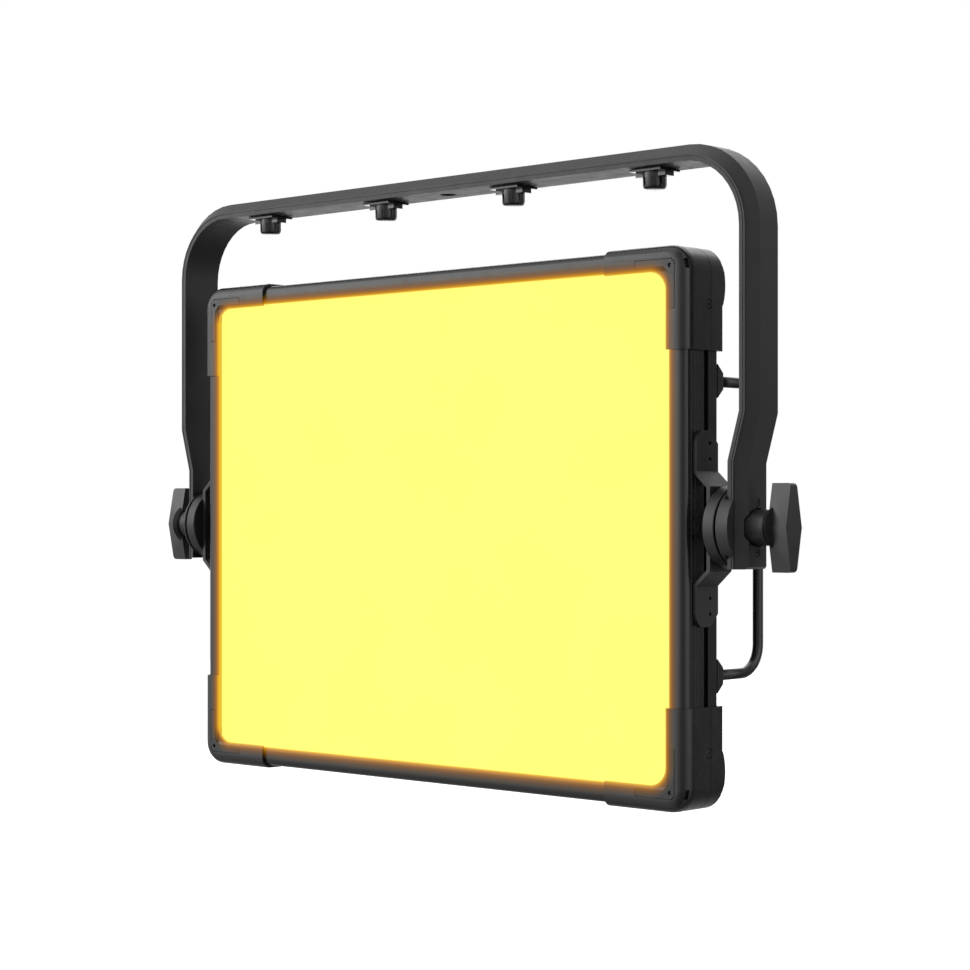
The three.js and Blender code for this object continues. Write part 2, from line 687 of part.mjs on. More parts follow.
function handle() {
  return bentRod(railDepth + handleFootHeight + 2 * gap, handleBack, handleZ, handleBend, handleRod, 32);
}

function handleFoot() {
  const y0 = railDepth + gap;
  const y1 = y0 + handleFootHeight;
  return sideSlab(polygon([[y0, -9.5], [y1, -4.5], [y1, 4.5], [y0, 9.5]]), railHalfX - 10, railHalfX);
}

// ---------------------------------------------------------------- assembly

const group = new THREE.Group();
const yoke = new THREE.Group();
const panel = new THREE.Group();
yoke.position.set(0, 0, -yokeRise);
panel.position.set(0, -frontOffset, -yokeRise - panelDrop);
group.add(yoke, panel);

function place(parent, name, geometry, finish, { x = 0, y = 0, z = 0, turnY = 0, turnZ = 0 } = {}) {
  const material = new THREE.MeshStandardMaterial({ ...finishes[finish], flatShading: true });
  const mesh = new THREE.Mesh(geometry, material);
  mesh.name = name;
  mesh.position.set(x, y, z);
  mesh.rotation.set(0, turnY, turnZ);
  parent.add(mesh);
}

place(yoke, 'yoke_bar', yokeBar(), 'powder_coat');
socketSteps.forEach((step, i) => {
  place(yoke, `clamp_socket_${i + 1}`, clampSocket(), 'plastic', { x: step * socketPitch });
});

for (const [side, turnZ] of [['right', 0], ['left', Math.PI]]) {
  place(yoke, `yoke_disc_${side}`, yokeDisc(), 'plastic', { turnZ });
  place(yoke, `friction_disc_${side}`, frictionDisc(), 'rubber', { turnZ });
  place(yoke, `pivot_boss_${side}`, pivotBoss(), 'powder_coat', { turnZ });
  place(yoke, `knob_washer_${side}`, knobWasher(), 'steel', { turnZ });
  place(yoke, `tilt_knob_${side}`, wingKnob(), 'plastic', { turnZ });
  place(yoke, `bracket_disc_${side}`, bracketDisc(), 'plastic', { turnZ });
  place(yoke, `pivot_stud_${side}`, pivotStud(), 'steel', { turnZ });
}

const bracket = pivotBracket();
const foot = handleFoot();
for (const [side, sign] of [['right', 1], ['left', -1]]) {
  place(panel, `pivot_bracket_${side}`, mirrored(bracket, sign, 1), 'powder_coat');
  place(panel, `handle_${side}`, handle(), 'powder_coat', { x: sign * handleX });
  for (const [level, signZ] of [['top', 1], ['bottom', -1]]) {
    place(panel, `handle_foot_${level}_${side}`, mirrored(foot, sign, 1), 'plastic', { z: signZ * handleZ });
  }
}

const sideRail = rail(railHalfX, 2 * (railHalfZ - railEnd));
const levelRail = rail(railHalfZ, 2 * (railHalfX - railEnd));
place(panel, 'rail_right', sideRail, 'anodised');
place(panel, 'rail_left', mirrored(sideRail, -1, 1), 'anodised');
place(panel, 'rail_top', levelRail, 'anodised', { turnY: -Math.PI / 2 });
place(panel, 'rail_bottom', levelRail, 'anodised', { turnY: Math.PI / 2 });

const corners = { top_right: [1, 1], top_left: [-1, 1], bottom_right: [1, -1], bottom_left: [-1, -1] };
const capPieces = { cap_front: capFront(), cap_rear: capRear(), corner_insert: cornerInsert() };
for (const [where, [signX, signZ]] of Object.entries(corners)) {
  for (const [piece, geometry] of Object.entries(capPieces)) {
    place(panel, `${piece}_${where}`, mirrored(geometry, signX, signZ), 'plastic');
  }
}

place(panel, 'diffuser', layer(diffuserFront, diffuserFront + diffuserThick), 'diffuser');
place(panel, 'mixing_frame', mixingFrame(), 'white');
place(panel, 'led_board', layer(boardFront, boardFront + boardThick), 'white');
place(panel, 'heat_sink', heatSink(), 'anodised');
place(panel, 'rear_housing', rearHousing(), 'powder_coat');
place(panel, 'rear_cover', rearCover(), 'powder_coat');
place(panel, 'power_supply', powerSupply(), 'steel');
place(panel, 'driver_board', driverBoard(), 'board');
place(panel, 'display_window', displayBed(gap, coverBack + 0.2), 'glass');
for (const [name, x] of Object.entries(buttons)) {
  place(panel, name, pushButton(x), 'rubber');
}
place(panel, 'encoder_knob', encoderKnob(), 'plastic');
for (const [name, x] of Object.entries(plugs)) {
  place(panel, name, chassisPlug(x, name === 'power_inlet' || name === 'data_in'), 'plastic');
}
place(panel, 'safety_loop', safetyLoop(), 'steel');

export default group;
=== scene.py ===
"""Looks of an LED panel light hung in a bent yoke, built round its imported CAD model.

Metres, +Z up, +X to the right seen from the lit side, which faces -Y. The origin is the
middle of the yoke's top flat.
"""

import json
import math

import bmesh
import bpy
from mathutils import Matrix, Vector


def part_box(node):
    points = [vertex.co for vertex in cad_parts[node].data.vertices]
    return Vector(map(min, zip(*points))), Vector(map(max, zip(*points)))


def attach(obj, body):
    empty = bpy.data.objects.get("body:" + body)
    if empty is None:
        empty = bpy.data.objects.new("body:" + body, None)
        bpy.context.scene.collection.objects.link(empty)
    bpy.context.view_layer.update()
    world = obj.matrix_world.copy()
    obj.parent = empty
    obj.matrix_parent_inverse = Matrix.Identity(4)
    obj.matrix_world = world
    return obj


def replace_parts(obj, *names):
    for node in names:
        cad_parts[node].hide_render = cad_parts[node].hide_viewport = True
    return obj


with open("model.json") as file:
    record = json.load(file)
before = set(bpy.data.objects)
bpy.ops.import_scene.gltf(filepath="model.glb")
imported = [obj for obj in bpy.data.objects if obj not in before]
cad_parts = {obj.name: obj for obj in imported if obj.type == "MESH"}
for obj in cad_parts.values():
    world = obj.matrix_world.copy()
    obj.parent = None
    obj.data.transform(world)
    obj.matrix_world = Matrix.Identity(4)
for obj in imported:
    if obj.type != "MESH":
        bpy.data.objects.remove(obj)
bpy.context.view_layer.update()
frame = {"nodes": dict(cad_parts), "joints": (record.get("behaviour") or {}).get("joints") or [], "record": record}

nodes = frame["nodes"]
MM = 0.001
SIDES = {"right": 1, "left": -1}
CORNERS = {"top_right": (1, 1), "top_left": (-1, 1), "bottom_right": (1, -1), "bottom_left": (-1, -1)}

# ------------------------------------------------------------------ places, from the frame


def middle(node):
    low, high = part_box(node)
    return (low + high) / 2


panel_mid = middle("diffuser")
tilt_axis = next(Vector(joint["pos_m"]) for joint in frame["joints"] if joint["name"] == "panel_tilt")
front_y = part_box("rail_top")[0].y
cover_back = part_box("rear_cover")[1].y
BOSS_SUNK = 1.7 * MM  # how far the pivot boss starts inside the arm's outer face
arm_out_at_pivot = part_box("pivot_boss_right")[0].x + BOSS_SUNK

# the lit window: a rounded rectangle between the rails' lips; the caps' lips reach a little further in
WINDOW_RADIUS = 11 * MM
CAP_LIP_STEP = 1 * MM
window_half_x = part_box("rail_right")[0].x - panel_mid.x
window_half_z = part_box("rail_top")[0].z - panel_mid.z

# ------------------------------------------------------------------ node trees and materials


class Nodes:
    """A node tree: add() makes a node, with its settings and its inputs, and returns it."""

    def __init__(self, owner):
        owner.use_nodes = True
        self.tree = owner.node_tree

    def add(self, kind, inputs=None, **settings):
        node = self.tree.nodes.new(kind)
        for key, value in settings.items():
            setattr(node, key, value)
        for key, value in (inputs or {}).items():
            self.feed(node.inputs[key], value)
        return node

    def feed(self, socket, value):
        if isinstance(value, bpy.types.NodeSocket):
            self.tree.links.new(value, socket)
        else:
            socket.default_value = value

    def math(self, operation, *values, clamp=False):
        node = self.add("ShaderNodeMath", dict(enumerate(values)), operation=operation, use_clamp=clamp)
        return node.outputs[0]

    def ramp(self, factor, stops):
        node = self.add("ShaderNodeValToRGB", {"Fac": factor})
        elements = node.color_ramp.elements
        while len(elements) < len(stops):
            elements.new(0.5)
        for element, (at, colour) in zip(elements, stops):
            element.position = at
            element.color = (*colour, 1)
        return node.outputs["Color"]


class Shader(Nodes):
    """A node material on a Principled BSDF."""

    def __init__(self, name):
        self.material = bpy.data.materials.new(name)
        super().__init__(self.material)
        self.bsdf = self.tree.nodes["Principled BSDF"]
        self.place = self.add("ShaderNodeTexCoord").outputs["Object"]

    def noise(self, size, detail=2.0, stretch=(1, 1, 1)):
        """Noise whose features are about that many metres across."""
        where = self.add("ShaderNodeMapping", {"Vector": self.place, "Scale": stretch})
        node = self.add("ShaderNodeTexNoise", {
            "Vector": where.outputs[0], "Scale": 1 / size, "Detail": detail, "Roughness": 0.55})
        return node.outputs["Fac"]

    def spread(self, factor, low, high, middle=0.5, reach=0.25):
        """Maps a factor's usual span round its middle to low..high."""
        node = self.add("ShaderNodeMapRange", {
            "Value": factor, "From Min": middle - reach, "From Max": middle + reach,
            "To Min": low, "To Max": high})
        return node.outputs[0]

    def blend(self, factor, first, second):
        node = self.add("ShaderNodeMix", data_type="RGBA")
        for socket, value in zip((node.inputs[0], node.inputs[6], node.inputs[7]), (factor, first, second)):
            self.feed(socket, value)
        return node.outputs[2]

    def bump(self, height, depth):
        return self.add("ShaderNodeBump", {"Height": height, "Distance": depth, "Strength": 1.0}).outputs[0]

    def set(self, **inputs):
        for key, value in inputs.items():
            self.feed(self.bsdf.inputs[key.replace("_", " ")], value)


def shade(colour, factor):
    return (*(channel * factor for channel in colour), 1)


SPECK_THRESHOLD = 0.74
SPECK_OPACITY = 0.3


def coating(name, colour, roughness, grain, depth, specular=0.5, variation=0.18):
    """A painted or moulded skin: fine grain, cloudy gloss, faint colour drift and a few rubbed specks.

    grain is the width of its bumps and depth is how deep they are.
    """
    s = Shader(name)
    drift = s.noise(60 * MM, 3)
    cloud = s.noise(9 * MM, 4)
    fine = s.noise(grain, 2)
    base = s.blend(s.spread(drift, 0, 1), shade(colour, 1 - variation), shade(colour, 1 + variation))
    specks = s.math("GREATER_THAN", s.noise(1.2 * MM, 1), SPECK_THRESHOLD)
    base = s.blend(s.math("MULTIPLY", specks, SPECK_OPACITY), base, shade(colour, 2.0))
    rough = s.spread(cloud, roughness - 0.05, roughness + 0.06)
    rough = s.math("ADD", rough, s.spread(fine, -0.04, 0.04))
    s.set(Base_Color=base, Roughness=rough, Specular_IOR_Level=specular, Normal=s.bump(fine, depth))
    return s


# Painted light: the spill from the window over the frame's lip is painted on as emission, fading with distance
# from the window's edge.
PAINTED_SPILL_REACH = 7.5 * MM
PAINTED_SPILL_STOPS = [  # share of the reach outside the window, and the light's colour there
    (0.0, (0.85, 0.5, 0.03)), (0.04, (0.76, 0.4, 0.025)), (0.13, (0.55, 0.24, 0.012)),
    (0.22, (0.4, 0.16, 0.007)), (0.31, (0.28, 0.108, 0.004)), (0.4, (0.2, 0.074, 0.002)),
    (0.53, (0.12, 0.044, 0.001)), (0.67, (0.06, 0.026, 0.0)), (0.82, (0.025, 0.012, 0.0)),
    (1.0, (0.0, 0.0, 0.0)),
]


def add_painted_spill(s, inset=0.0):
    """Painted light: emission painted on the front of the frame, fading with distance from the window's edge, in
    place of light spilling from the window; the lip under it is bare dark metal.
    """
    split = s.add("ShaderNodeSeparateXYZ", {"Vector": s.place})
    sides = (("X", panel_mid.x, window_half_x), ("Z", panel_mid.z, window_half_z))
    past = []
    for axis, centre, half in sides:
        offset = s.math("ABSOLUTE", s.math("SUBTRACT", split.outputs[axis], centre))
        straight = half - inset - WINDOW_RADIUS
        past.append(s.math("MAXIMUM", s.math("SUBTRACT", offset, straight), 0.0))
    squares = s.math("ADD", s.math("MULTIPLY", past[0], past[0]), s.math("MULTIPLY", past[1], past[1]))
    distance = s.math("SUBTRACT", s.math("SQRT", squares), WINDOW_RADIUS)
    # colour of the painted spill light, by distance from the window's edge
    colour = s.ramp(s.math("DIVIDE", distance, PAINTED_SPILL_REACH, clamp=True), PAINTED_SPILL_STOPS)
    front = s.spread(split.outputs["Y"], 1, 0, middle=front_y + 6 * MM, reach=3 * MM)
    bare = s.math("MULTIPLY", front, s.spread(distance, 1, 0, middle=3.6 * MM, reach=2.4 * MM))
    s.set(Emission_Color=s.blend(front, (0, 0, 0, 1), colour), Emission_Strength=1.0,
          Metallic=s.math("MULTIPLY", bare, 0.85))
    return s


def lit_diffuser():
    """Opal sheet lit from behind, with a fine moulded grain and barely uneven light."""
    s = Shader("lit_diffuser")
    cloud = s.noise(70 * MM, 2)
    colour = s.blend(s.spread(cloud, 0, 1), (0.98, 0.98, 0.195, 1), (1.0, 1.0, 0.21, 1))
    s.set(Base_Color=(0.02, 0.02, 0.01, 1), Roughness=0.6, Specular_IOR_Level=0.1,
          Emission_Color=colour, Emission_Strength=1.0, Normal=s.bump(s.noise(0.5 * MM), 0.01 * MM))
    return s


def plated(name, colour, roughness):
    """Bright or blackened metal with fine brushing along its length."""
    s = Shader(name)
    brushed = s.noise(0.35 * MM, 3, (1, 9, 9))
    cloud = s.noise(6 * MM, 3)
    base = s.blend(s.spread(cloud, 0, 1), shade(colour, 0.85), shade(colour, 1.1))
    s.set(Base_Color=base, Metallic=1.0, Roughness=s.spread(brushed, roughness - 0.08, roughness + 0.1),
          Normal=s.bump(brushed, 0.01 * MM))
    return s


def circuit_board():
    """Green solder mask over raised copper tracks."""
    s = Shader("circuit_board")
    line = s.math("GREATER_THAN", s.noise(1.5 * MM, 1), 0.53)
    base = s.blend(line, (0.012, 0.07, 0.03, 1), (0.02, 0.12, 0.05, 1))
    s.set(Base_Color=base, Roughness=0.35, Normal=s.bump(line, 0.03 * MM))
    return s


BLACK = (0.0115, 0.0118, 0.0123)
slots = {
    "yoke_paint": coating("yoke_paint", BLACK, 0.46, 0.5 * MM, 0.04 * MM, 0.62),
    "socket_plastic": coating("socket_plastic", (0.01, 0.01, 0.011), 0.16, 0.3 * MM, 0.003 * MM, 0.75),
    "disc_plastic": coating("disc_plastic", BLACK, 0.44, 0.3 * MM, 0.012 * MM, 0.6),
    "friction_rubber": coating("friction_rubber", (0.008, 0.008, 0.008), 0.8, 0.5 * MM, 0.05 * MM, 0.3),
    "bright_steel": plated("bright_steel", (0.5, 0.5, 0.51), 0.34),
    "black_steel": plated("black_steel", (0.03, 0.03, 0.032), 0.4),
    "knob_plastic": coating("knob_plastic", (0.0115, 0.0117, 0.012), 0.36, 0.28 * MM, 0.012 * MM, 0.68),
    # the rails, caps and inserts carry painted light: emission that stands in for light spilled from the window
    # onto their fronts
    "rail_anodised": add_painted_spill(coating("rail_anodised", BLACK, 0.25, 0.35 * MM, 0.004 * MM, 0.54)),
    "cap_plastic": add_painted_spill(coating("cap_plastic", BLACK, 0.28, 0.3 * MM, 0.006 * MM, 0.58), CAP_LIP_STEP),
    "insert_plastic": add_painted_spill(
        coating("insert_plastic", BLACK, 0.3, 0.3 * MM, 0.006 * MM, 0.54), CAP_LIP_STEP),
    "lit_diffuser": lit_diffuser(),
    "white_reflector": coating(
        "white_reflector", (0.8, 0.8, 0.77), 0.5, 0.4 * MM, 0.01 * MM, variation=0.04),
    "led_plate": coating("led_plate", (0.7, 0.7, 0.68), 0.45, 0.4 * MM, 0.01 * MM, variation=0.05),
    "sink_anodised": coating("sink_anodised", BLACK, 0.4, 0.3 * MM, 0.01 * MM),
    "housing_paint": coating("housing_paint", BLACK, 0.46, 0.5 * MM, 0.05 * MM),
    "supply_case": plated("supply_case", (0.45, 0.46, 0.47), 0.4),
    "circuit_board": circuit_board(),
    "display_glass": coating("display_glass", (0.004, 0.005, 0.008), 0.08, 4 * MM, 0.002 * MM),
    "button_rubber": coating("button_rubber", (0.025, 0.025, 0.028), 0.6, 0.3 * MM, 0.01 * MM),
    "connector_plastic": coating("connector_plastic", BLACK, 0.36, 0.3 * MM, 0.01 * MM),
}

# ------------------------------------------------------------------ CAD nodes: finish and softened edges

BEVELS = {  # millimetres, by the first of these that a node's name has in it
    "yoke_bar": 0.6, "tilt_knob": 0.6, "pivot_bracket": 0.4, "cap": 0.35, "rail": 0.15,
    "corner_insert": 0.12, "heat_sink": 0.3, "rear": 0.4, "disc": 0.5, "boss": 0.4}
DEFAULT_BEVEL = 0.25


def round_edges(obj, width, angle=28):
    """Rounds the edges sharper than an angle in degrees, to a width in millimetres."""
    bevel = obj.modifiers.new("bevel", "BEVEL")
    bevel.width = width * MM
    bevel.segments = 3
    bevel.limit_method = "ANGLE"
    bevel.angle_limit = math.radians(angle)
    bevel.harden_normals = True
    bevel.use_clamp_overlap = True


def soften(obj, width):
    """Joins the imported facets, then rounds the edges that are left and shades the rest smooth."""
    for attribute in ("custom_normal", "sharp_edge", "sharp_face"):
        if attribute in obj.data.attributes:
            obj.data.attributes.remove(obj.data.attributes[attribute])
    weld = obj.modifiers.new("weld", "WELD")
    weld.merge_threshold = 1e-6
    flats = obj.modifiers.new("flats", "DECIMATE")
    flats.decimate_type = "DISSOLVE"
    flats.angle_limit = math.radians(1.5)
    round_edges(obj, width)


for part in frame["record"]["subparts"]:
    obj = nodes[part["node"]]
    obj.data.materials.clear()
    obj.data.materials.append(slots[part["material_slot"]].material)
    width = next((w for key, w in BEVELS.items() if key in part["node"]), DEFAULT_BEVEL)
    soften(obj, width)

# ------------------------------------------------------------------ piece helpers


def piece(name, bm, slot, body, bevel=0.0):
    """Makes an object of a bmesh, with its finish, its body and rounded edges."""
    mesh = bpy.data.meshes.new(name)
    bmesh.ops.remove_doubles(bm, verts=bm.verts, dist=1e-6)
    bmesh.ops.recalc_face_normals(bm, faces=bm.faces)
    for face in bm.faces:
        face.smooth = True
    bm.to_mesh(mesh)
    bm.free()
    mesh.materials.append(slots[slot].material)
    obj = bpy.data.objects.new(name, mesh)
    bpy.context.scene.collection.objects.link(obj)
    if bevel:
        round_edges(obj, bevel)
    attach(obj, body)
    return obj


def facing(place, direction):
    """Matrix that stands a shape drawn along +Z at a place, along a direction."""
    turn = Vector((0, 0, 1)).rotation_difference(Vector(direction)).to_matrix().to_4x4()
    return Matrix.Translation(place) @ turn


def lathe(bm, profile, matrix, sides=32):
    """Adds a turned body from a profile of radius and height that starts and ends on the axis."""
    turn = 2 * math.pi / sides
    around = [(math.cos(i * turn), math.sin(i * turn)) for i in range(sides)]
    rings = []
    for radius, height in profile:
        spots = [(radius * x, radius * y) for x, y in around] if radius else [(0, 0)]
        rings.append([bm.verts.new(matrix @ Vector((*spot, height))) for spot in spots])
    for below, above in zip(rings, rings[1:]):
        for i in range(sides):
            ring = [below[i % len(below)], below[(i + 1) % len(below)],
                    above[(i + 1) % len(above)], above[i % len(above)]]
            bm.faces.new(list(dict.fromkeys(ring)))


def block(bm, low, high):
    """Adds a box between two corners."""
    size = Vector(high) - Vector(low)
    centre = (Vector(high) + Vector(low)) / 2
    bmesh.ops.create_cube(bm, size=1, matrix=Matrix.Translation(centre) @ Matrix.Diagonal((*size, 1)))


def tube(bm, points, radius, sides=20):
    """Adds a round rod along a path that lies in one plane, with closed ends."""
    across = (points[1] - points[0]).cross(points[-1] - points[0]).normalized()
    turn = 2 * math.pi / sides
    rings = []
    for i, point in enumerate(points):
        along = (points[min(i + 1, len(points) - 1)] - points[max(i - 1, 0)]).normalized()
        up = across.cross(along)
        rings.append([
            bm.verts.new(point + radius * (math.cos(k * turn) * across + math.sin(k * turn) * up))
            for k in range(sides)])
    for below, above in zip(rings, rings[1:]):
        for k in range(sides):
            bm.faces.new((below[k], below[(k + 1) % sides], above[(k + 1) % sides], above[k]))
    bm.faces.new(rings[0][::-1])
    bm.faces.new(rings[-1])


def loop_path(start, back, half, bend, across):
    """Path out from one foot, across and back to the other, with quarter-ellipse corners."""
    across = Vector(across)
    corner = [math.pi / 2 * i / 12 for i in range(13)]
    side = [(back.y - bend + bend * math.sin(a), half - bend + bend * math.cos(a)) for a in corner]
    points = [(start.y, half), *side, *((y, -reach) for y, reach in reversed(side)), (start.y, -half)]
    return [Vector((start.x, y, start.z)) + across * reach for y, reach in points]


def screw(bm, place, direction, radius, height):
    """Adds a domed screw head with a round socket."""
    matrix = facing(place, direction)
    socket = radius * 0.42
    depth = -0.35 * radius
    lathe(bm, [
        (0, depth), (socket, depth), (socket, height), (radius * 0.72, height), (radius, height * 0.45),
        (radius, depth - 0.1 * MM), (0, depth - 0.1 * MM)], matrix, 24)


def seat_screw(bm, place, direction, radius, depth):
    """Adds a flat screw head that fills a shallow seat, with a deep socket in its middle."""
    socket = 0.33 * radius
    edge = 0.22 * MM
    lathe(bm, [
        (0, 0.1 * MM - depth), (socket, 0.1 * MM - depth), (socket, 0), (radius - edge, 0), (radius, -edge),
        (radius, -depth), (0, -depth)], facing(place, direction), 28)


# ------------------------------------------------------------------ rods: handles and safety loop

HANDLE_BEND = 16 * MM
EYE_BEND = 9 * MM
EYE_ROD_RADIUS = 2.5 * MM


def handles():
    """Smooth bent rods in place of the faceted handles."""
    for side in SIDES:
        node = f"handle_{side}"
        low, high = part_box(node)
        radius = (high.x - low.x) / 2
        centre = (low + high) / 2
        start = Vector((centre.x, low.y, centre.z))
        back = Vector((centre.x, high.y - radius, centre.z))
        half = (high.z - low.z) / 2 - radius
        bm = bmesh.new()
        tube(bm, loop_path(start, back, half, HANDLE_BEND, (0, 0, 1)), radius)
        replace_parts(piece(f"grip_{side}", bm, "rail_anodised", "panel"), node)


def safety_eye():
    """Steel eye on two round feet in place of the faceted loop."""
    low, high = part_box("safety_loop")
    rod = EYE_ROD_RADIUS
    foot = (high.z - low.z) / 2
    centre = (low + high) / 2
    half = (high.x - low.x) / 2 - foot
    start = Vector((centre.x, low.y, centre.z))
    back = Vector((centre.x, high.y - rod, centre.z))
    bm = bmesh.new()
    tube(bm, loop_path(start, back, half, EYE_BEND, (1, 0, 0)), rod)
    foot_profile = [
        (0, 0), (foot, 0), (foot, 1.4 * MM), (foot - 0.8 * MM, 2 * MM),
        (rod + 0.8 * MM, 2.2 * MM), (rod, 3.4 * MM), (0, 3.4 * MM)]
    for sign in SIDES.values():
        base = start + Vector((sign * half, 0, 0))
        lathe(bm, foot_profile, facing(base, (0, 1, 0)))
    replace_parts(piece("safety_eye", bm, "bright_steel", "panel"), "safety_loop")


# ------------------------------------------------------------------ fasteners

ARM_SCREW_HEIGHT = 13.5 * MM  # above and below the pivot
ARM_SCREW_SUNK = 0.15 * MM
CAP_SCREW_FROM_END = 32 * MM  # from the cap's top or bottom
CAP_SCREW_TO_SEAM = 1.85 * MM  # in front of the rear cap
CAP_SCREW_SUNK = 0.05 * MM
COVER_SCREW_INSET = 7 * MM
PLUG_SCREW_X = 9.8 * MM  # from the connector's middle
PLUG_SCREW_Z = 12.2 * MM
PLUG_FLANGE = 2.6 * MM


def arm_screws():
    """Two flush screws in each arm's outer face, above and below the pivot."""
    for side, sign in SIDES.items():
        bm = bmesh.new()
        for height in (ARM_SCREW_HEIGHT, -ARM_SCREW_HEIGHT):
            place = Vector((sign * (arm_out_at_pivot - ARM_SCREW_SUNK), 0, tilt_axis.z + height))
            seat_screw(bm, place, (sign, 0, 0), radius=2.1 * MM, depth=1.25 * MM)
        piece(f"arm_screws_{side}", bm, "yoke_paint", "yoke", 0.1)


def cap_screws():
    """One screw through each corner cap's side, across its seam."""
    for where, (sign_x, sign_z) in CORNERS.items():
        low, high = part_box(f"cap_rear_{where}")
        outside = high.x if sign_x > 0 else low.x
        level = (high.z if sign_z > 0 else low.z) - sign_z * CAP_SCREW_FROM_END
        place = Vector((outside - sign_x * CAP_SCREW_SUNK, low.y - CAP_SCREW_TO_SEAM, level))
        bm = bmesh.new()
        seat_screw(bm, place, (sign_x, 0, 0), radius=2.5 * MM, depth=0.75 * MM)
        piece(f"cap_screw_{where}", bm, "cap_plastic", "panel", 0.08)


def cover_screws():
    """Screws that hold the rear cover: one in each corner and one halfway along the left and right sides."""
    low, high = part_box("rear_cover")
    centre = (low + high) / 2
    bm = bmesh.new()
    for sign_x in (-1, 1):
        for level in (-1, 0, 1):
            x = centre.x + sign_x * ((high.x - low.x) / 2 - COVER_SCREW_INSET)
            z = centre.z + level * ((high.z - low.z) / 2 - COVER_SCREW_INSET)
            screw(bm, Vector((x, high.y, z)), (0, 1, 0), radius=3.2 * MM, height=1.4 * MM)
    piece("cover_screws", bm, "black_steel", "panel", 0.12)


def plug_screws():
    """Two screws in opposite corners of each chassis connector's flange."""
    bm = bmesh.new()
    for node in ("power_inlet", "power_outlet", "data_in", "data_out"):
        centre = middle(node)
        for sign in (-1, 1):
            x = centre.x + sign * PLUG_SCREW_X
            z = centre.z - sign * PLUG_SCREW_Z
            place = Vector((x, cover_back + PLUG_FLANGE, z))
            screw(bm, place, (0, 1, 0), radius=2.1 * MM, height=0.8 * MM)
    piece("plug_screws", bm, "black_steel", "panel", 0.08)


# ------------------------------------------------------------------ rear controls and connectors


def display_marks():
    """Plain bars of the menu shown on the display: a title strip, four rows and their levels."""
    low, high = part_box("display_window")
    margin = 5 * MM
    first_row = 12.5 * MM  # below the window's top edge
    row_step = 5 * MM
    label_end = 9 * MM
    level_start = 14 * MM
    level_span = 36 * MM
    bm = bmesh.new()

    def bar(start, end, bottom, height):
        """A bar on the glass; the reader stands behind the light, so it runs towards -X."""
        x, y = high.x - margin, high.y
        block(bm, (x - end, y - 0.1 * MM, bottom), (x - start, y + 0.04 * MM, bottom + height))

    bar(0, high.x - low.x - 2 * margin, high.z - 7 * MM, 1.4 * MM)
    for row, level in enumerate((0.8, 0.45, 0.62, 0.3)):
        z = high.z - first_row - row * row_step
        bar(0, label_end, z, 2 * MM)
        bar(level_start, level_start + level * level_span, z, 2 * MM)
    piece("display_marks", bm, "display_light", "panel")


def encoder_scale():
    """Ring of short printed ticks round the encoder knob."""
    centre = middle("encoder_knob")
    inner = 12 * MM
    bm = bmesh.new()
    for i in range(25):
        angle = math.radians(-120 + 10 * i)
        length = (3.2 if i % 6 == 0 else 1.8) * MM
        turn = Matrix.Translation((centre.x, cover_back, centre.z)) @ Matrix.Rotation(angle, 4, "Y")
        out = Matrix.Translation((0, 0, inner + length / 2))
        size = Matrix.Diagonal((0.5 * MM, 0.12 * MM, length, 1))
        bmesh.ops.create_cube(bm, size=1, matrix=turn @ out @ size)
    piece("encoder_scale", bm, "printed_white", "panel")


CONTACTS = {  # number of contacts, radius of their ring, radius and length of each
    "power_inlet": (3, 4.5 * MM, 1.6 * MM, 14 * MM),
    "data_in": (5, 5.2 * MM, 0.9 * MM, 16 * MM),
    "power_outlet": (3, 4.5 * MM, 1.9 * MM, 0.7 * MM),
    "data_out": (5, 5.2 * MM, 1.2 * MM, 0.7 * MM),
}
INLETS = ("power_inlet", "data_in")


def connector_contacts():
    """Long pins in the two inlets, and flush sockets on the two outlets."""
    low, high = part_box("data_in")
    inlet_floor = low.y + 6 * MM
    outlet_face = high.y - 2.5 * MM
    for node, (count, ring, radius, length) in CONTACTS.items():
        centre = middle(node)
        base = inlet_floor if node in INLETS else outlet_face
        profile = [
            (0, 0), (radius, 0), (radius, length - radius * 0.6), (radius * 0.5, length), (0, length)]
        bm = bmesh.new()
        for i in range(count):
            angle = 2 * math.pi * i / count + math.pi / 2
            place = Vector((centre.x + ring * math.cos(angle), base, centre.z + ring * math.sin(angle)))
            lathe(bm, profile, facing(place, (0, 1, 0)), 16)
        piece(f"{node}_contacts", bm, "bright_steel", "panel")


def button_rings():
    """Raised collar round each push button."""
    bm = bmesh.new()
    for node in ("button_menu", "button_enter"):
        low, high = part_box(node)
        centre = (low + high) / 2
        inner = (high.x - low.x) / 2 + 0.5 * MM
        place = Vector((centre.x, cover_back - 0.2 * MM, centre.z))
        matrix = facing(place, (0, 1, 0))
        ring = [(inner, 0), (inner, 0.9 * MM), (inner + 1.3 * MM, 0.9 * MM), (inner + 1.8 * MM, 0)]
        lathe(bm, [*ring, ring[0]], matrix, 40)
    piece("button_rings", bm, "connector_plastic", "panel", 0.12)


# ------------------------------------------------------------------ light source


def led_chips():
    """Grid of surface-mounted emitters on the board, each a body with a phosphor lens."""
    low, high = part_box("led_board")
    columns, rows = 22, 17
    margin = 14 * MM
    step_x = (high.x - low.x - 2 * margin) / (columns - 1)
    step_z = (high.z - low.z - 2 * margin) / (rows - 1)
    bodies = bmesh.new()
    lenses = bmesh.new()
    body = (bodies, 1.4 * MM, 0.8 * MM, 0)  # half width, then how far its front and back stand off
    lens = (lenses, 1 * MM, 1 * MM, 0.8 * MM)
    for column in range(columns):
        for row in range(rows):
            x = low.x + margin + column * step_x
            z = low.z + margin + row * step_z
            for bm, half, front, back in (body, lens):
                block(bm, (x - half, low.y - front, z - half), (x + half, low.y - back, z + half))
    piece("led_bodies", bodies, "white_reflector", "panel")
    piece("led_lenses", lenses, "phosphor", "panel")


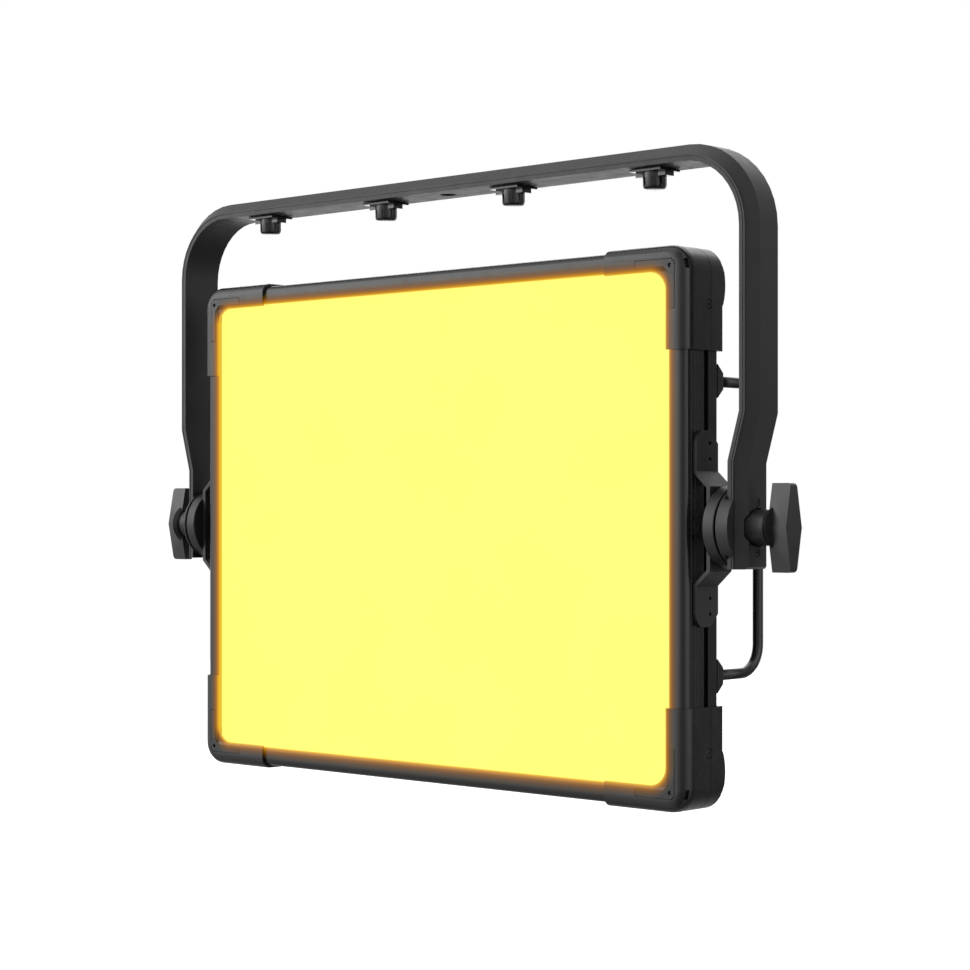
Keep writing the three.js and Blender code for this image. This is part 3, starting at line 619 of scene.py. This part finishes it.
def plain(name, colour, roughness, glow=0.0):
    """A finish of a small printed or moulded detail, with light mottling."""
    s = Shader(name)
    base = s.blend(s.spread(s.noise(1.5 * MM, 3), 0, 1), shade(colour, 0.9), shade(colour, 1.1))
    s.set(Base_Color=base, Roughness=roughness)
    if glow:
        s.set(Emission_Color=base, Emission_Strength=glow)
    return s


slots["display_light"] = plain("display_light", (0.35, 0.62, 0.75), 0.4, 0.7)
slots["printed_white"] = plain("printed_white", (0.55, 0.55, 0.55), 0.6)
slots["phosphor"] = plain("phosphor", (0.85, 0.7, 0.12), 0.3)

handles()
safety_eye()
arm_screws()
cap_screws()
cover_screws()
plug_screws()
display_marks()
encoder_scale()
connector_contacts()
button_rings()
led_chips()

# ------------------------------------------------------------------ stage, light and camera


SOFTBOXES = {  # place, what it faces, width and height, power in watts
    "top_softbox": ((-0.4, 0.75, 1.6), (0, 0, -0.2), (2.2, 2.2), 11),
    "front_softbox": ((-2.1, -1.6, 0.9), (0, 0, -0.2), (1.8, 1.8), 12),
    "rim_softbox": ((-1.6, 1.7, 0.05), (0, 0, -0.1), (1.0, 1.5), 5),
}


def softbox(name, place, target, size, power):
    """Area light that faces a target, and that the camera doesn't see."""
    data = bpy.data.lights.new(name, "AREA")
    data.shape = "RECTANGLE"
    data.size, data.size_y = size
    data.energy = power
    light = bpy.data.objects.new(name, data)
    light.visible_camera = False
    light.location = place
    light.rotation_euler = (Vector(target) - Vector(place)).to_track_quat("-Z", "Y").to_euler()
    bpy.context.scene.collection.objects.link(light)


BEARINGS = [  # degrees round the light, 0 to its right and -90 in front of it, and the world's level there
    (-180, 0.45), (-155, 0.6), (-139, 0.86), (-125, 1.0), (-110, 0.75), (-94, 0.42), (-75, 0.26),
    (-57, 0.2), (-40, 0.28), (-25, 0.5), (-9, 0.7), (15, 0.76), (30, 0.4), (47, 0.1), (62, 0.12),
    (90, 0.56), (125, 0.7), (145, 0.65), (165, 0.5), (180, 0.45)]
HEIGHTS = [  # height on a globe of radius 1, and the world's level there
    (-1.0, 0.16), (-0.28, 0.28), (0.0, 0.6), (0.26, 0.8), (0.7, 0.56), (1.0, 0.48)]
WORLD_STRENGTH = 2.8


def cyclorama():
    """World of a white studio: white to look at, with softboxes and dark flags all round in its light."""
    world = bpy.data.worlds.new("studio")
    bpy.context.scene.world = world
    studio = Nodes(world)
    studio.tree.nodes.clear()

    def curve(value, reach, stops):
        """Level read off stops that span -reach to reach."""
        share = studio.math("MULTIPLY_ADD", value, 0.5 / reach, 0.5)
        return studio.ramp(share, [((at / reach + 1) / 2, (level,) * 3) for at, level in stops])

    split = studio.add("ShaderNodeSeparateXYZ", {
        "Vector": studio.add("ShaderNodeTexCoord").outputs["Generated"]})
    turn = studio.math("ARCTAN2", split.outputs["Y"], split.outputs["X"])
    around = curve(turn, math.pi, [(math.radians(bearing), level) for bearing, level in BEARINGS])
    level = studio.math("MULTIPLY", curve(split.outputs["Z"], 1, HEIGHTS), around)
    strength = studio.math("MULTIPLY", level, WORLD_STRENGTH)
    fill = studio.add("ShaderNodeBackground", {"Color": (1, 1, 1, 1), "Strength": strength})
    white = studio.add("ShaderNodeBackground", {"Color": (1, 1, 1, 1)})
    seen = studio.add("ShaderNodeLightPath").outputs["Is Camera Ray"]
    mix = studio.add("ShaderNodeMixShader", {0: seen, 1: fill.outputs[0], 2: white.outputs[0]})
    studio.add("ShaderNodeOutputWorld", {"Surface": mix.outputs[0]})


def white_floor():
    """Pale floor far below, bright enough to run into the white backdrop."""
    s = Shader("floor")
    base = s.blend(s.noise(40 * MM, 2), (0.86, 0.86, 0.86, 1), (0.9, 0.9, 0.9, 1))
    s.set(Base_Color=base, Roughness=0.9, Emission_Color=base, Emission_Strength=0.75)
    reach, drop = 12, -1.3
    mesh = bpy.data.meshes.new("floor")
    corners = [(x * reach, y * reach, drop) for x, y in ((-1, -1), (1, -1), (1, 1), (-1, 1))]
    mesh.from_pydata(corners, [], [(0, 1, 2, 3)])
    mesh.materials.append(s.material)
    floor = bpy.data.objects.new("floor", mesh)
    bpy.context.scene.collection.objects.link(floor)
    floor.visible_glossy = False
    floor.visible_diffuse = False


CAMERA_PLACE = (0.9687, -1.0277, -0.1997)
CAMERA_TURN = 42.4  # degrees from looking straight at the lit side
CAMERA_LENS = 86.44
CAMERA_SHIFT_UP = 0.0239


def camera():
    """Level camera to the right of the light, on a long lens."""
    data = bpy.data.cameras.new("camera")
    data.sensor_width = 36
    data.lens = CAMERA_LENS
    data.shift_y = CAMERA_SHIFT_UP
    obj = bpy.data.objects.new("camera", data)
    obj.location = CAMERA_PLACE
    obj.rotation_euler = (math.radians(90), 0, math.radians(CAMERA_TURN))
    bpy.context.scene.collection.objects.link(obj)
    bpy.context.scene.camera = obj


cyclorama()
white_floor()
for name, settings in SOFTBOXES.items():
    softbox(name, *settings)
camera()
bpy.context.scene.view_settings.view_transform = "Standard"
